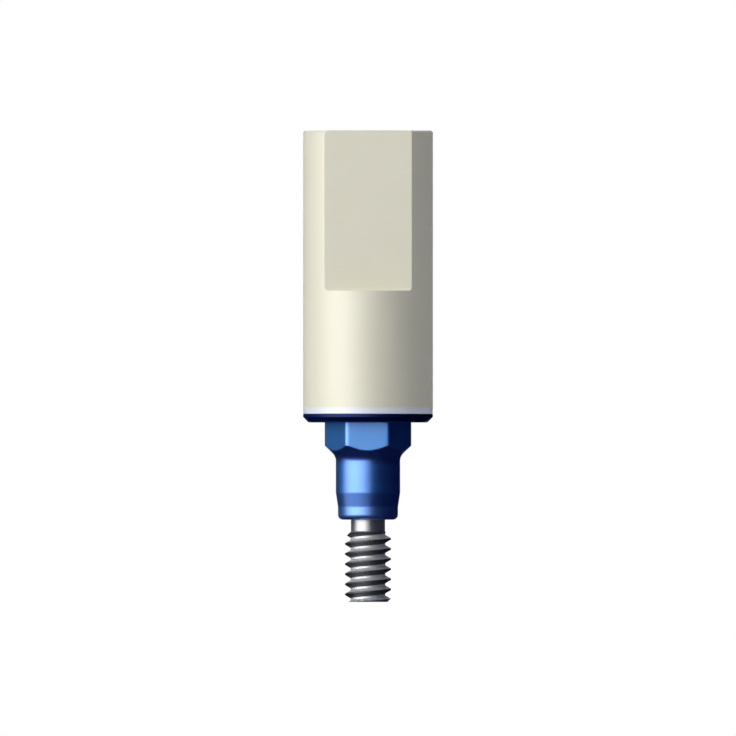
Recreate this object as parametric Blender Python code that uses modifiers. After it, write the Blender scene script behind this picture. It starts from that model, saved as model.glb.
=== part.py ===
"""Scan body for a dental implant.

A turned PEEK scan flag with one scan facet is pressed on the post of a blue titanium connection base. A retention
screw turns freely in the base: its head sits on a cone inside the post, its shank passes through the hexagonal
connection, and its M1.6 thread reaches below it.

Everything is in metres, with +Z up towards the flag. The origin is on the axis at the implant's platform, which is
the underside of the base's flange, and the scan facet faces -Y.
"""

import math

import bmesh
import bpy
from mathutils import Matrix, Vector

# The diameter that the flag and the flange share, so that they are flush
BODY_DIAMETER = 0.0045

# Scan flag, measured from its seat on the flange
FLAG_LENGTH = 0.0098
FLAG_RIM_CHAMFER = 0.00006
FACET_DISTANCE = 0.00166
FACET_LENGTH = 0.00555
FACET_CORNER_RADIUS = 0.0001
CHANNEL_MOUTH_CHAMFER = 0.0002

# Flange and post of the connection base
FLANGE_THICKNESS = 0.0003
FLANGE_CHAMFER = 0.00019
POST_HEIGHT = 0.0026
POST_WALL = 0.00052
POST_TOP_CHAMFER = 0.00015
POST_ROOT_FILLET = 0.00008
POST_FLAT_DEPTH = 0.0002
POST_GROOVES = 3
POST_GROOVE_WIDTH = 0.00028
POST_GROOVE_DEPTH = 0.00008
POST_GROOVE_SPACING = 0.00062
HEAD_BORE_MOUTH_CHAMFER = 0.0001

# Hexagonal connection, which goes into the implant
HEX_ACROSS_FLATS = 0.00264
HEX_ACROSS_CORNERS = 0.003
HEX_LENGTH = 0.0008
HEX_FILLET_RADIUS = 0.00035
BARREL_DIAMETER = 0.00223
BARREL_LENGTH = 0.0011
TAPER_LENGTH = 0.0005
PILOT_DIAMETER = 0.00208
PILOT_LENGTH = 0.00044
PILOT_EDGE_RADIUS = 0.00013

# Retention screw
SEAT_HEIGHT = 0.00055
HEAD_DIAMETER = 0.0022
HEAD_LENGTH = 0.0015
HEAD_RIM_CHAMFER = 0.0001
HEAD_FILLET_RADIUS = 0.00015
DRIVE_ACROSS_FLATS = 0.00128
DRIVE_DEPTH = 0.0011
DRIVE_DRILL_DIAMETER = 0.00112
DRIVE_DRILL_POINT_ANGLE = math.radians(118)
DRIVE_COUNTERSINK_DIAMETER = 0.0016
NECK_LENGTH = 0.0004
THREAD_DIAMETER = 0.0016
THREAD_PITCH = 0.00035
THREAD_DEPTH = 0.0002
THREAD_LENGTH = 0.00245
THREAD_FLANK_ANGLE = math.radians(60)
THREAD_CREST_SHARE = 1 / 8
THREAD_END_CHAMFER = 0.00012
THREAD_START_TURN = 0.25

# Clearances
SEAT_CLEARANCE = 0.00002
PRESS_FIT_CLEARANCE = 0.00001
HEAD_CLEARANCE = 0.00008
CHANNEL_CLEARANCE = 0.00015
THREAD_CLEARANCE = 0.00005
NECK_RELIEF = 0.00001

# How finely round shapes are divided, and how far a cutter runs past the surface that it cuts
TURNED_STEPS = 72
SCREW_STEPS = 48
ARC_STEPS = 4
CUTTER_MARGIN = 0.0005
GROOVE_MARGIN = 0.00001
MERGE_DISTANCE = 1e-7
SHARP_ANGLE = math.radians(25)

# Sizes that follow from the ones above
BODY_RADIUS = BODY_DIAMETER / 2
HEAD_RADIUS = HEAD_DIAMETER / 2
HEAD_BORE_RADIUS = HEAD_RADIUS + HEAD_CLEARANCE
CHANNEL_RADIUS = HEAD_RADIUS + CHANNEL_CLEARANCE
POST_RADIUS = HEAD_BORE_RADIUS + POST_WALL
SOCKET_RADIUS = POST_RADIUS + PRESS_FIT_CLEARANCE
POST_FLAT_DISTANCE = POST_RADIUS - POST_FLAT_DEPTH
SOCKET_FLAT_DISTANCE = POST_FLAT_DISTANCE + PRESS_FIT_CLEARANCE
POST_TOP = FLANGE_THICKNESS + POST_HEIGHT
HEX_RADIUS = HEX_ACROSS_CORNERS / 2
BARREL_RADIUS = BARREL_DIAMETER / 2
PILOT_RADIUS = PILOT_DIAMETER / 2
THREAD_RADIUS = THREAD_DIAMETER / 2
THREAD_ROOT_RADIUS = THREAD_RADIUS - THREAD_DEPTH
NECK_RADIUS = THREAD_ROOT_RADIUS - NECK_RELIEF
SCREW_BORE_RADIUS = THREAD_RADIUS + THREAD_CLEARANCE

# Heights of the connection below the platform: a 45 degree lead on the hexagon runs into the barrel's fillet
FILLET_RISE = HEX_FILLET_RADIUS * math.sin(math.radians(45))
FILLET_RUN = HEX_FILLET_RADIUS * (1 - math.cos(math.radians(45)))
LEAD_RUN = HEX_RADIUS - BARREL_RADIUS - FILLET_RUN
LEAD_END = -HEX_LENGTH - LEAD_RUN
BARREL_TOP = LEAD_END - FILLET_RISE
BARREL_END = BARREL_TOP - BARREL_LENGTH
TAPER_END = BARREL_END - TAPER_LENGTH
BASE_END = TAPER_END - PILOT_LENGTH

# Heights of the screw, measured from the base's seat cone where it meets the bore
HEAD_CONE_TOP = HEAD_RADIUS - SCREW_BORE_RADIUS
HEAD_TOP = HEAD_CONE_TOP + HEAD_LENGTH
THREAD_TOP = BASE_END - NECK_LENGTH - SEAT_HEIGHT - SEAT_CLEARANCE
THREAD_END = THREAD_TOP - THREAD_LENGTH


def arc(centre, radius, start, end, steps=ARC_STEPS):
    """Points of an arc in a profile, as (distance from the axis, height), with its angles in degrees."""
    points = []
    for step in range(steps + 1):
        angle = math.radians(start + (end - start) * step / steps)
        points.append((centre[0] + radius * math.cos(angle), centre[1] + radius * math.sin(angle)))
    return points


def flag_profile():
    """Half section of the flag before its facet and its socket are cut, down its outside and up its channel."""
    return [
        (BODY_RADIUS - FLAG_RIM_CHAMFER, FLAG_LENGTH),
        (BODY_RADIUS, FLAG_LENGTH - FLAG_RIM_CHAMFER),
        (BODY_RADIUS, 0),
        (CHANNEL_RADIUS, 0),
        (CHANNEL_RADIUS, FLAG_LENGTH - CHANNEL_MOUTH_CHAMFER),
        (CHANNEL_RADIUS + CHANNEL_MOUTH_CHAMFER, FLAG_LENGTH),
    ]


def socket_profile():
    """Half section of the room that the post takes inside the flag, with a flared mouth over the post's root."""
    top = POST_HEIGHT + PRESS_FIT_CLEARANCE
    flare = POST_ROOT_FILLET + PRESS_FIT_CLEARANCE
    return [
        (0, top),
        (SOCKET_RADIUS, top),
        (SOCKET_RADIUS, flare),
        (SOCKET_RADIUS + flare + CUTTER_MARGIN, -CUTTER_MARGIN),
        (0, -CUTTER_MARGIN),
    ]


def groove_profile(height):
    """One retention groove of the post, centred at a height."""
    half = POST_GROOVE_WIDTH / 2
    floor = half - POST_GROOVE_DEPTH
    return [
        (POST_RADIUS, height + half),
        (POST_RADIUS - POST_GROOVE_DEPTH, height + floor),
        (POST_RADIUS - POST_GROOVE_DEPTH, height - floor),
        (POST_RADIUS, height - half),
    ]


def base_profile():
    """Half section of the connection base, down its outside and up its bores."""
    middle = FLANGE_THICKNESS + POST_HEIGHT / 2
    top_groove = middle + POST_GROOVE_SPACING * (POST_GROOVES - 1) / 2
    post = [(POST_RADIUS - POST_TOP_CHAMFER, POST_TOP), (POST_RADIUS, POST_TOP - POST_TOP_CHAMFER)]
    for groove in range(POST_GROOVES):
        post += groove_profile(top_groove - groove * POST_GROOVE_SPACING)
    root_centre = (POST_RADIUS + POST_ROOT_FILLET, FLANGE_THICKNESS + POST_ROOT_FILLET)
    post += arc(root_centre, POST_ROOT_FILLET, 180, 270)
    flange = [
        (BODY_RADIUS, FLANGE_THICKNESS),
        (BODY_RADIUS, FLANGE_CHAMFER),
        (BODY_RADIUS - FLANGE_CHAMFER, 0),
    ]
    hexagon_blank = [(HEX_RADIUS, 0), (HEX_RADIUS, -HEX_LENGTH)]
    barrel = arc((BARREL_RADIUS + HEX_FILLET_RADIUS, BARREL_TOP), HEX_FILLET_RADIUS, 135, 180)
    barrel += [(BARREL_RADIUS, BARREL_END), (PILOT_RADIUS, TAPER_END)]
    edge_centre = (PILOT_RADIUS - PILOT_EDGE_RADIUS, BASE_END + PILOT_EDGE_RADIUS)
    barrel += arc(edge_centre, PILOT_EDGE_RADIUS, 0, -90)
    bores = [
        (SCREW_BORE_RADIUS, BASE_END),
        (SCREW_BORE_RADIUS, SEAT_HEIGHT),
        (HEAD_BORE_RADIUS, SEAT_HEIGHT + HEAD_BORE_RADIUS - SCREW_BORE_RADIUS),
        (HEAD_BORE_RADIUS, POST_TOP - HEAD_BORE_MOUTH_CHAMFER),
        (HEAD_BORE_RADIUS + HEAD_BORE_MOUTH_CHAMFER, POST_TOP),
    ]
    return post + flange + hexagon_blank + barrel + bores


def screw_profile():
    """Half section of the screw before its drive and its thread are cut, from the head's top down to the end."""
    cone_end = NECK_RADIUS - SCREW_BORE_RADIUS
    fillet_rise = HEAD_FILLET_RADIUS * math.sin(math.radians(45))
    fillet_run = HEAD_FILLET_RADIUS * (1 - math.cos(math.radians(45)))
    fillet_centre = (NECK_RADIUS + HEAD_FILLET_RADIUS, cone_end + fillet_run - fillet_rise)
    head = [
        (0, HEAD_TOP),
        (HEAD_RADIUS - HEAD_RIM_CHAMFER, HEAD_TOP),
        (HEAD_RADIUS, HEAD_TOP - HEAD_RIM_CHAMFER),
        (HEAD_RADIUS, HEAD_CONE_TOP),
    ]
    shank = arc(fillet_centre, HEAD_FILLET_RADIUS, 135, 180)
    thread_blank = [
        (NECK_RADIUS, THREAD_TOP),
        (THREAD_RADIUS, THREAD_TOP - (THREAD_RADIUS - NECK_RADIUS)),
        (THREAD_RADIUS, THREAD_END + THREAD_END_CHAMFER),
        (THREAD_RADIUS - THREAD_END_CHAMFER, THREAD_END),
        (0, THREAD_END),
    ]
    return head + shank + thread_blank


def drive_drill_profile():
    """Half section of the drill and countersink that open the screw's drive before it is broached."""
    drill = DRIVE_DRILL_DIAMETER / 2
    countersink = DRIVE_COUNTERSINK_DIAMETER / 2
    floor = HEAD_TOP - DRIVE_DEPTH
    return [
        (0, HEAD_TOP + CUTTER_MARGIN),
        (countersink + CUTTER_MARGIN, HEAD_TOP + CUTTER_MARGIN),
        (drill, HEAD_TOP - (countersink - drill)),
        (drill, floor),
        (0, floor - drill / math.tan(DRIVE_DRILL_POINT_ANGLE / 2)),
    ]


def collection(name):
    """A new collection in the scene."""
    made = bpy.data.collections.new(name)
    bpy.context.scene.collection.children.link(made)
    return made


def turned(name, profile, steps, where, on_axis=False):
    """An object turned about Z from a half section at +X, which ends on the axis or else closes on itself."""
    count = len(profile)
    edges = [(i, i + 1) for i in range(count - 1)]
    if not on_axis:
        edges.append((count - 1, 0))
    mesh = bpy.data.meshes.new(name)
    mesh.from_pydata([(radius, 0, height) for radius, height in profile], edges, [])
    piece = bpy.data.objects.new(name, mesh)
    where.objects.link(piece)
    lathe = piece.modifiers.new("lathe", "SCREW")
    lathe.axis = "Z"
    lathe.steps = lathe.render_steps = steps
    lathe.use_merge_vertices = True
    lathe.merge_threshold = MERGE_DISTANCE
    lathe.use_smooth_shade = True
    return piece


def cutter(name, bm, piece, where):
    """A hidden wire object from a bmesh, in the frame of the piece that it cuts."""
    mesh = bpy.data.meshes.new(name)
    bm.to_mesh(mesh)
    bm.free()
    made = bpy.data.objects.new(name, mesh)
    where.objects.link(made)
    return as_cutter(made, piece)


def as_cutter(made, piece):
    """Hides an object from renders, shows it as wire and carries it in a piece's frame."""
    made.parent = piece
    made.hide_render = True
    made.display_type = "WIRE"
    return made


def cut(piece, tool):
    """Takes one cutter out of a piece."""
    boolean = piece.modifiers.new(tool.name, "BOOLEAN")
    boolean.operation = "DIFFERENCE"
    boolean.solver = "EXACT"
    boolean.object = tool


def box_in_front(distance, half_width, depth, low, high):
    """A bmesh box whose inner face is the plane at a distance from the axis towards -Y."""
    bm = bmesh.new()
    size = Vector((2 * half_width, depth, high - low))
    centre = Vector((0, -distance - depth / 2, (low + high) / 2))
    bmesh.ops.create_cube(bm, size=1, matrix=Matrix.LocRotScale(centre, None, size))
    return bm


def facet_cutter(piece, where):
    """The cut that leaves the scan facet and its ledge, with the end mill's radius in their corner."""
    ledge = FLAG_LENGTH - FACET_LENGTH
    reach = BODY_RADIUS + CUTTER_MARGIN
    bm = box_in_front(FACET_DISTANCE, reach, reach, ledge, FLAG_LENGTH + CUTTER_MARGIN)
    inner = max(vert.co.y for vert in bm.verts)
    lowest = min(vert.co.z for vert in bm.verts)
    corner = [
        edge
        for edge in bm.edges
        if all(vert.co.y == inner and vert.co.z == lowest for vert in edge.verts)
    ]
    bmesh.ops.bevel(
        bm, geom=corner, offset=FACET_CORNER_RADIUS, segments=ARC_STEPS, profile=0.5, affect="EDGES"
    )
    return cutter("facet_cutter", bm, piece, where)


def hexagon(across_flats, low, high, capped):
    """A bmesh hexagonal prism with two corners on the X axis, closed or open at its ends."""
    bm = bmesh.new()
    corner_radius = across_flats / 2 / math.cos(math.radians(30))
    place = Matrix.Translation((0, 0, (low + high) / 2)) @ Matrix.Rotation(math.radians(30), 4, "Z")
    bmesh.ops.create_cone(
        bm,
        cap_ends=capped,
        segments=6,
        radius1=corner_radius,
        radius2=corner_radius,
        depth=high - low,
        matrix=place,
    )
    return bm


def hexagon_flats_cutter(piece, where):
    """The ring around the hexagon that the six flats are milled out of."""
    tool = cutter("hexagon_flats_cutter", hexagon(HEX_ACROSS_FLATS, LEAD_END, 0, False), piece, where)
    wall = tool.modifiers.new("wall", "SOLIDIFY")
    wall.thickness = CUTTER_MARGIN
    wall.offset = 1
    wall.use_even_offset = True
    return tool


def thread_groove_cutter(piece, where):
    """The helical groove between the thread's ridges: its section swept along a right-hand helix, closed at both ends."""
    outer = THREAD_RADIUS + GROOVE_MARGIN
    slope = math.tan(THREAD_FLANK_ANGLE / 2)
    half_at_crest = THREAD_PITCH * (1 - THREAD_CREST_SHARE) / 2
    half_outer = half_at_crest + GROOVE_MARGIN * slope
    half_root = half_at_crest - THREAD_DEPTH * slope
    turns = math.ceil(THREAD_LENGTH / THREAD_PITCH) + 2
    start = THREAD_TOP - (turns - 1 + THREAD_START_TURN) * THREAD_PITCH
    section = [
        (outer, start + half_outer),
        (THREAD_ROOT_RADIUS, start + half_root),
        (THREAD_ROOT_RADIUS, start - half_root),
        (outer, start - half_outer),
    ]
    half_step = Matrix.Rotation(math.pi / SCREW_STEPS, 3, "Z")
    bm = bmesh.new()
    face = bm.faces.new([bm.verts.new(half_step @ Vector((r, 0, z))) for r, z in section])
    bmesh.ops.spin(
        bm,
        geom=[face],
        cent=(0, 0, 0),
        axis=(0, 0, 1),
        dvec=(0, 0, THREAD_PITCH / SCREW_STEPS),
        angle=math.tau * turns,
        steps=SCREW_STEPS * turns,
        use_duplicate=False,
    )
    bmesh.ops.recalc_face_normals(bm, faces=bm.faces)
    return cutter("thread_groove_cutter", bm, piece, where)


def smooth_shading():
    """A node group that shades faces smooth and keeps edges sharp past an angle."""
    group = bpy.data.node_groups.new("smooth_by_angle", "GeometryNodeTree")
    group.interface.new_socket("Geometry", in_out="INPUT", socket_type="NodeSocketGeometry")
    group.interface.new_socket("Geometry", in_out="OUTPUT", socket_type="NodeSocketGeometry")
    nodes = group.nodes
    source = nodes.new("NodeGroupInput")
    target = nodes.new("NodeGroupOutput")
    angle = nodes.new("GeometryNodeInputMeshEdgeAngle")
    gentle = nodes.new("FunctionNodeCompare")
    gentle.operation = "LESS_THAN"
    gentle.inputs[1].default_value = SHARP_ANGLE
    faces = nodes.new("GeometryNodeSetShadeSmooth")
    edges = nodes.new("GeometryNodeSetShadeSmooth")
    edges.domain = "EDGE"
    group.links.new(source.outputs[0], faces.inputs["Geometry"])
    group.links.new(faces.outputs["Geometry"], edges.inputs["Geometry"])
    group.links.new(angle.outputs["Unsigned Angle"], gentle.inputs[0])
    group.links.new(gentle.outputs[0], edges.inputs["Shade Smooth"])
    group.links.new(edges.outputs["Geometry"], target.inputs[0])
    return group


def dress(piece, shading, colour, roughness, metallic):
    """Gives a piece its shading and a material named for it."""
    smooth = piece.modifiers.new("smooth_by_angle", "NODES")
    smooth.node_group = shading
    material = bpy.data.materials.new(piece.name)
    material.use_nodes = True
    surface = material.node_tree.nodes["Principled BSDF"]
    surface.inputs["Base Color"].default_value = (*colour, 1)
    surface.inputs["Roughness"].default_value = roughness
    surface.inputs["Metallic"].default_value = metallic
    piece.data.materials.append(material)


def make_base(parts, cutters):
    """The connection base, with six milled flats on its hexagon and one flat on its post."""
    base = turned("connection_base", base_profile(), TURNED_STEPS, parts)
    cut(base, hexagon_flats_cutter(base, cutters))
    reach = POST_RADIUS + CUTTER_MARGIN
    flat = box_in_front(
        POST_FLAT_DISTANCE,
        reach,
        reach,
        FLANGE_THICKNESS + POST_ROOT_FILLET,
        POST_TOP + CUTTER_MARGIN,
    )
    cut(base, cutter("post_flat_cutter", flat, base, cutters))
    return base


def make_flag(base, parts, cutters):
    """The scan flag on the base's flange, with its facet and the socket that holds the post."""
    flag = turned("scan_flag", flag_profile(), TURNED_STEPS, parts)
    flag.parent = base
    flag.location.z = FLANGE_THICKNESS + SEAT_CLEARANCE
    cut(flag, facet_cutter(flag, cutters))
    socket = as_cutter(
        turned("socket_cutter", socket_profile(), TURNED_STEPS, cutters, on_axis=True), flag
    )
    reach = SOCKET_RADIUS + 2 * CUTTER_MARGIN
    key = box_in_front(
        SOCKET_FLAT_DISTANCE,
        reach,
        reach,
        POST_ROOT_FILLET - PRESS_FIT_CLEARANCE,
        POST_HEIGHT + CUTTER_MARGIN,
    )
    cut(socket, cutter("socket_key_cutter", key, flag, cutters))
    cut(flag, socket)
    return flag


def make_screw(base, parts, cutters):
    """The retention screw on its seat in the base, with its hexagonal drive and its thread."""
    screw = turned("retention_screw", screw_profile(), SCREW_STEPS, parts, on_axis=True)
    screw.parent = base
    screw.location.z = SEAT_HEIGHT + SEAT_CLEARANCE
    cut(screw, thread_groove_cutter(screw, cutters))
    drill = turned("drive_drill_cutter", drive_drill_profile(), SCREW_STEPS, cutters, on_axis=True)
    cut(screw, as_cutter(drill, screw))
    drive = hexagon(DRIVE_ACROSS_FLATS, HEAD_TOP - DRIVE_DEPTH, HEAD_TOP + CUTTER_MARGIN, True)
    cut(screw, cutter("drive_broach_cutter", drive, screw, cutters))
    return screw


def main():
    for old in list(bpy.data.objects):
        bpy.data.objects.remove(old)
    parts = collection("scan_body")
    cutters = collection("cutters")
    shading = smooth_shading()
    base = make_base(parts, cutters)
    flag = make_flag(base, parts, cutters)
    screw = make_screw(base, parts, cutters)
    dress(flag, shading, colour=(0.66, 0.64, 0.51), roughness=0.45, metallic=0)
    dress(base, shading, colour=(0.03, 0.1, 0.42), roughness=0.28, metallic=1)
    dress(screw, shading, colour=(0.56, 0.57, 0.58), roughness=0.3, metallic=1)


main()
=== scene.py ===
"""Scene of a scan body for a dental implant.

A cream scan flag stands on a blue anodised connection base, and a bare titanium retention screw passes
through both. Each of the three is turned from its half section, given its flats and its thread by node
trees, and dressed with a finish of its own. Pieces and finishes are sized in millimetres, and the studio
in metres, with +Z up.
"""

import logging
import math
from collections.abc import Mapping, Sequence
from dataclasses import dataclass, field
from enum import Enum
from typing import Any

import bmesh
import bpy
import numpy as np
from mathutils import Matrix, Vector


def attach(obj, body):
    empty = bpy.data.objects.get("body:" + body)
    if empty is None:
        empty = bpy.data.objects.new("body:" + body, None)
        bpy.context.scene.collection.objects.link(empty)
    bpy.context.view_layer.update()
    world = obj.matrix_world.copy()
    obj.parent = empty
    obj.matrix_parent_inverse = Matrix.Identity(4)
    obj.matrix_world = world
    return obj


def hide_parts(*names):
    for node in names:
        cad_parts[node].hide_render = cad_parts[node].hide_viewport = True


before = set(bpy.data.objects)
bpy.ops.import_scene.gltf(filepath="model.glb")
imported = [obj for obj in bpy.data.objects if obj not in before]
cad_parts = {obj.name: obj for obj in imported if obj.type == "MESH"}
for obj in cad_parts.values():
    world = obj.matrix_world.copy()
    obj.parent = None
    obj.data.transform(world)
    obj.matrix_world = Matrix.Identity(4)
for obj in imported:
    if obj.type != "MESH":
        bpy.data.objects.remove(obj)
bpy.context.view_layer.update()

LOG = logging.getLogger("scan_body")

MM = 0.001

# How finely a turned piece is divided: rings that hold a face flat near its edges, and the steps of an arc
SUPPORT = 0.02
SUPPORTED_SPAN = 3 * SUPPORT
ARC_TURN = math.radians(15)
LEAST_ARC_STEPS = 3
LEAST_ARC_TURN = math.radians(1)
SAME_PLACE = 1e-6

# Where a ring has closer vertices round a crease, and how near to them an even one is left out
CREASE_OFFSETS = tuple(math.radians(turn) for turn in (-1.2, -0.5, -0.2, 0.0, 0.2, 0.5, 1.2))
LEAST_TURN = math.radians(0.12)

# Up to which angle shading runs on over an edge, and from which an edge is worn in full
SMOOTH_UP_TO = math.radians(32)
WORN_ANGLE = math.radians(40)

# The vertex layers that the node trees and the finishes share
EDGE_LAYER = "worn_edge"
MILLED_LAYER = "milled"
UPPER_FLANK_LAYER = "load_flank"

# How deep a flat lies where it shows as milled, and the cosine that keeps its reach finite beside it
MILLED_DEPTH = 0.004
LEAST_COSINE = 0.05

# Where in a turn of the thread the flank that faces the head starts and ends, as shares of the pitch; the
# titanium finish paints a highlight there
FLANK_START = (0.07, 0.17)
FLANK_END = (0.63, 0.52)

Colour = tuple[float, float, float]
Span = tuple[float, float]


class Body(Enum):
    """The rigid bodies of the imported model."""

    FLAG_AND_BASE = "flag_and_base"
    RETENTION_SCREW = "retention_screw"


class Slot(Enum):
    """The record's material slots."""

    PEEK = "peek"
    BLUE_ANODISED_TITANIUM = "blue_anodised_titanium"
    BARE_TITANIUM = "bare_titanium"


class Cut(Enum):
    """How flats change a turned outline: they take the outside down, or open a hollow further."""

    OUTSIDE = "SMOOTH_MIN"
    HOLLOW = "SMOOTH_MAX"


class Field:
    """A number that varies through a node tree. Python's operators on it add Math nodes."""

    def __init__(self, recipe: "Recipe", socket: bpy.types.NodeSocket) -> None:
        """Wraps the output socket of a node in a recipe's tree."""
        self.recipe = recipe
        self.socket = socket

    def __add__(self, other: "Number") -> "Field":
        """The sum."""
        return self.recipe.maths("ADD", self, other)

    __radd__ = __add__

    def __sub__(self, other: "Number") -> "Field":
        """The difference."""
        return self.recipe.maths("SUBTRACT", self, other)

    def __rsub__(self, other: "Number") -> "Field":
        """The difference, with this field taken away."""
        return self.recipe.maths("SUBTRACT", other, self)

    def __mul__(self, other: "Number") -> "Field":
        """The product."""
        return self.recipe.maths("MULTIPLY", self, other)

    __rmul__ = __mul__

    def __truediv__(self, other: "Number") -> "Field":
        """The quotient."""
        return self.recipe.maths("DIVIDE", self, other)

    def __rtruediv__(self, other: "Number") -> "Field":
        """The quotient, with this field below the line."""
        return self.recipe.maths("DIVIDE", other, self)

    def __neg__(self) -> "Field":
        """The field with its sign turned."""
        return self.recipe.maths("MULTIPLY", self, -1.0)

    def __abs__(self) -> "Field":
        """The field without its sign."""
        return self.recipe.maths("ABSOLUTE", self)

    def between(self, low: float, high: float) -> "Field":
        """A soft step from 0 at low to 1 at high, which may lie below low."""
        share = self.recipe.maths("DIVIDE", self - low, high - low, clamp=True)
        return share * share * (3.0 - 2.0 * share)

    def onto(self, low: float, high: float) -> "Field":
        """A field from 0 to 1 laid onto another range."""
        return self * (high - low) + low

    def swing(self, amount: float) -> "Field":
        """A field from 0 to 1 as a change to either side of nothing, of this amount from end to end."""
        return (self - 0.5) * amount


Number = Field | float


class Recipe:
    """Adds nodes to one tree and links them."""

    def __init__(self, tree: bpy.types.NodeTree) -> None:
        """Starts on a tree that exists."""
        self.tree = tree

    def node(
        self,
        kind: str,
        settings: Mapping[str, Any] | None = None,
        values: Mapping[str | int, Any] | None = None,
    ) -> bpy.types.Node:
        """Adds one node.

        Args:
            kind: The node's type.
            settings: Properties, which are set first. The stops of a ramp are given as (place, colour).
            values: A number, a colour, a field or a socket for each input, by its name or its place.

        Returns:
            The node.
        """
        made = self.tree.nodes.new(kind)
        for name, value in (settings or {}).items():
            if name == "stops":
                self._set_stops(made.color_ramp, value)
            else:
                setattr(made, name, value)
        for name, value in (values or {}).items():
            self.feed(made.inputs[name], value)
        return made

    @staticmethod
    def _set_stops(ramp: bpy.types.ColorRamp, stops: Sequence[tuple[float, Colour]]) -> None:
        """Gives a ramp its stops.

        Args:
            ramp: The ramp.
            stops: The place and the colour of each.
        """
        while len(ramp.elements) < len(stops):
            ramp.elements.new(1.0)
        for element, (place, colour) in zip(ramp.elements, stops, strict=True):
            element.position = place
            element.color = (*colour, 1.0)

    def feed(self, socket: bpy.types.NodeSocket, value: Any) -> None:
        """Fills an input.

        Args:
            socket: The input.
            value: A field or a socket, which is linked to it, or the input's own value.
        """
        if isinstance(value, Field):
            value = value.socket
        if isinstance(value, bpy.types.NodeSocket):
            self.tree.links.new(value, socket)
        elif socket.type == "RGBA" and len(value) == 3:
            socket.default_value = (*value, 1.0)
        else:
            socket.default_value = value

    def maths(self, operation: str, *values: Number, clamp: bool = False) -> Field:
        """The result of one Math node on up to three fields or numbers."""
        settings = {"operation": operation, "use_clamp": clamp}
        made = self.node("ShaderNodeMath", settings, dict(enumerate(values)))
        return Field(self, made.outputs[0])

    def vector(self, operation: str, *values: Any) -> bpy.types.NodeSocket:
        """The vector result of one Vector Math node."""
        made = self.node("ShaderNodeVectorMath", {"operation": operation}, dict(enumerate(values)))
        return made.outputs["Vector"]

    def scaled(self, vector: bpy.types.NodeSocket, factor: Number) -> bpy.types.NodeSocket:
        """A vector that a factor makes longer or shorter."""
        made = self.node("ShaderNodeVectorMath", {"operation": "SCALE"}, {0: vector, "Scale": factor})
        return made.outputs["Vector"]

    def combined(self, x: Number, y: Number, z: Number) -> bpy.types.NodeSocket:
        """A vector from three numbers."""
        return self.node("ShaderNodeCombineXYZ", values={0: x, 1: y, 2: z}).outputs[0]

    def parts(self, vector: bpy.types.NodeSocket) -> tuple[Field, Field, Field]:
        """The three numbers of a vector."""
        made = self.node("ShaderNodeSeparateXYZ", values={0: vector})
        return Field(self, made.outputs[0]), Field(self, made.outputs[1]), Field(self, made.outputs[2])

    def length(self, x: Field, y: Field) -> Field:
        """The length of a flat vector."""
        return self.maths("SQRT", x * x + y * y)

    def mix(self, share: Number, first: Any, second: Any) -> bpy.types.NodeSocket:
        """One colour laid over another by a share."""
        settings = {"data_type": "RGBA", "clamp_factor": True}
        return self.node("ShaderNodeMix", settings, {0: share, 6: first, 7: second}).outputs[2]


@dataclass(frozen=True)
class Corner:
    """One corner of a half section.

    Attributes:
        reach: Distance from the axis.
        height: Height above the platform.
        rounding: Radius that rounds the corner.
        flats: Distance of each set of flats from the axis here, or nothing where no set cuts.
        steps: Into how many parts the run to the next corner is divided.
    """

    reach: float
    height: float
    rounding: float = 0.0
    flats: tuple[float, ...] = ()
    steps: int = 1


@dataclass(frozen=True)
class Flats:
    """A set of equal flats round the axis, the first of them towards -Y.

    Attributes:
        layer: The vertex layer that says how far from the axis they lie at each height.
        count: How many there are.
        distance: Their distance from the axis where they matter most.
        reach: The radius of the outline that they meet there.
        cut: Whether they take the outside down or open a hollow.
        blend: How far from the crease the two surfaces are rounded into each other.
        clear: The value of the layer where they cut nothing.
    """

    layer: str
    count: int
    distance: float
    reach: float
    cut: Cut = Cut.OUTSIDE
    blend: float = 0.015
    clear: float = 2.3

    def creases(self) -> list[float]:
        """The angles from -Y at which the flats meet the turned outline."""
        half, step = math.acos(min(1.0, self.distance / self.reach)), math.tau / self.count
        return [index * step + side * half for index in range(self.count) for side in (-1, 1)]


def arc_points(
    before: np.ndarray, corner: np.ndarray, after: np.ndarray, rounding: float
) -> list[np.ndarray]:
    """Rounds one corner of a section.

    Args:
        before: The corner before it.
        corner: The corner itself.
        after: The corner after it.
        rounding: The radius.

    Returns:
        The points of the arc, or the corner alone where nothing is rounded.
    """
    to_before, to_after = before - corner, after - corner
    spans = np.linalg.norm(to_before), np.linalg.norm(to_after)
    if rounding <= 0 or min(spans) < SAME_PLACE:
        return [corner]
    to_before, to_after = to_before / spans[0], to_after / spans[1]
    opening = math.acos(float(np.clip(to_before @ to_after, -1, 1)))
    turn = math.pi - opening
    if turn < LEAST_ARC_TURN:
        return [corner]
    setback = rounding / math.tan(opening / 2)
    inward = (to_before + to_after) / np.linalg.norm(to_before + to_after)
    centre = corner + inward * rounding / math.sin(opening / 2)
    start, end = corner + to_before * setback - centre, corner + to_after * setback - centre
    steps = max(LEAST_ARC_STEPS, math.ceil(turn / ARC_TURN))
    shares = np.linspace(0, 1, steps + 1)
    return [
        centre + (math.sin((1 - share) * turn) * start + math.sin(share * turn) * end) / math.sin(turn)
        for share in shares
    ]


def run_shares(span: float, steps: int) -> list[float]:
    """Where a straight run gets rings between its ends, as shares of its length."""
    supports = {SUPPORT / span, 1 - SUPPORT / span} if span > SUPPORTED_SPAN else set()
    return sorted(supports | {step / steps for step in range(1, steps)})


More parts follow.
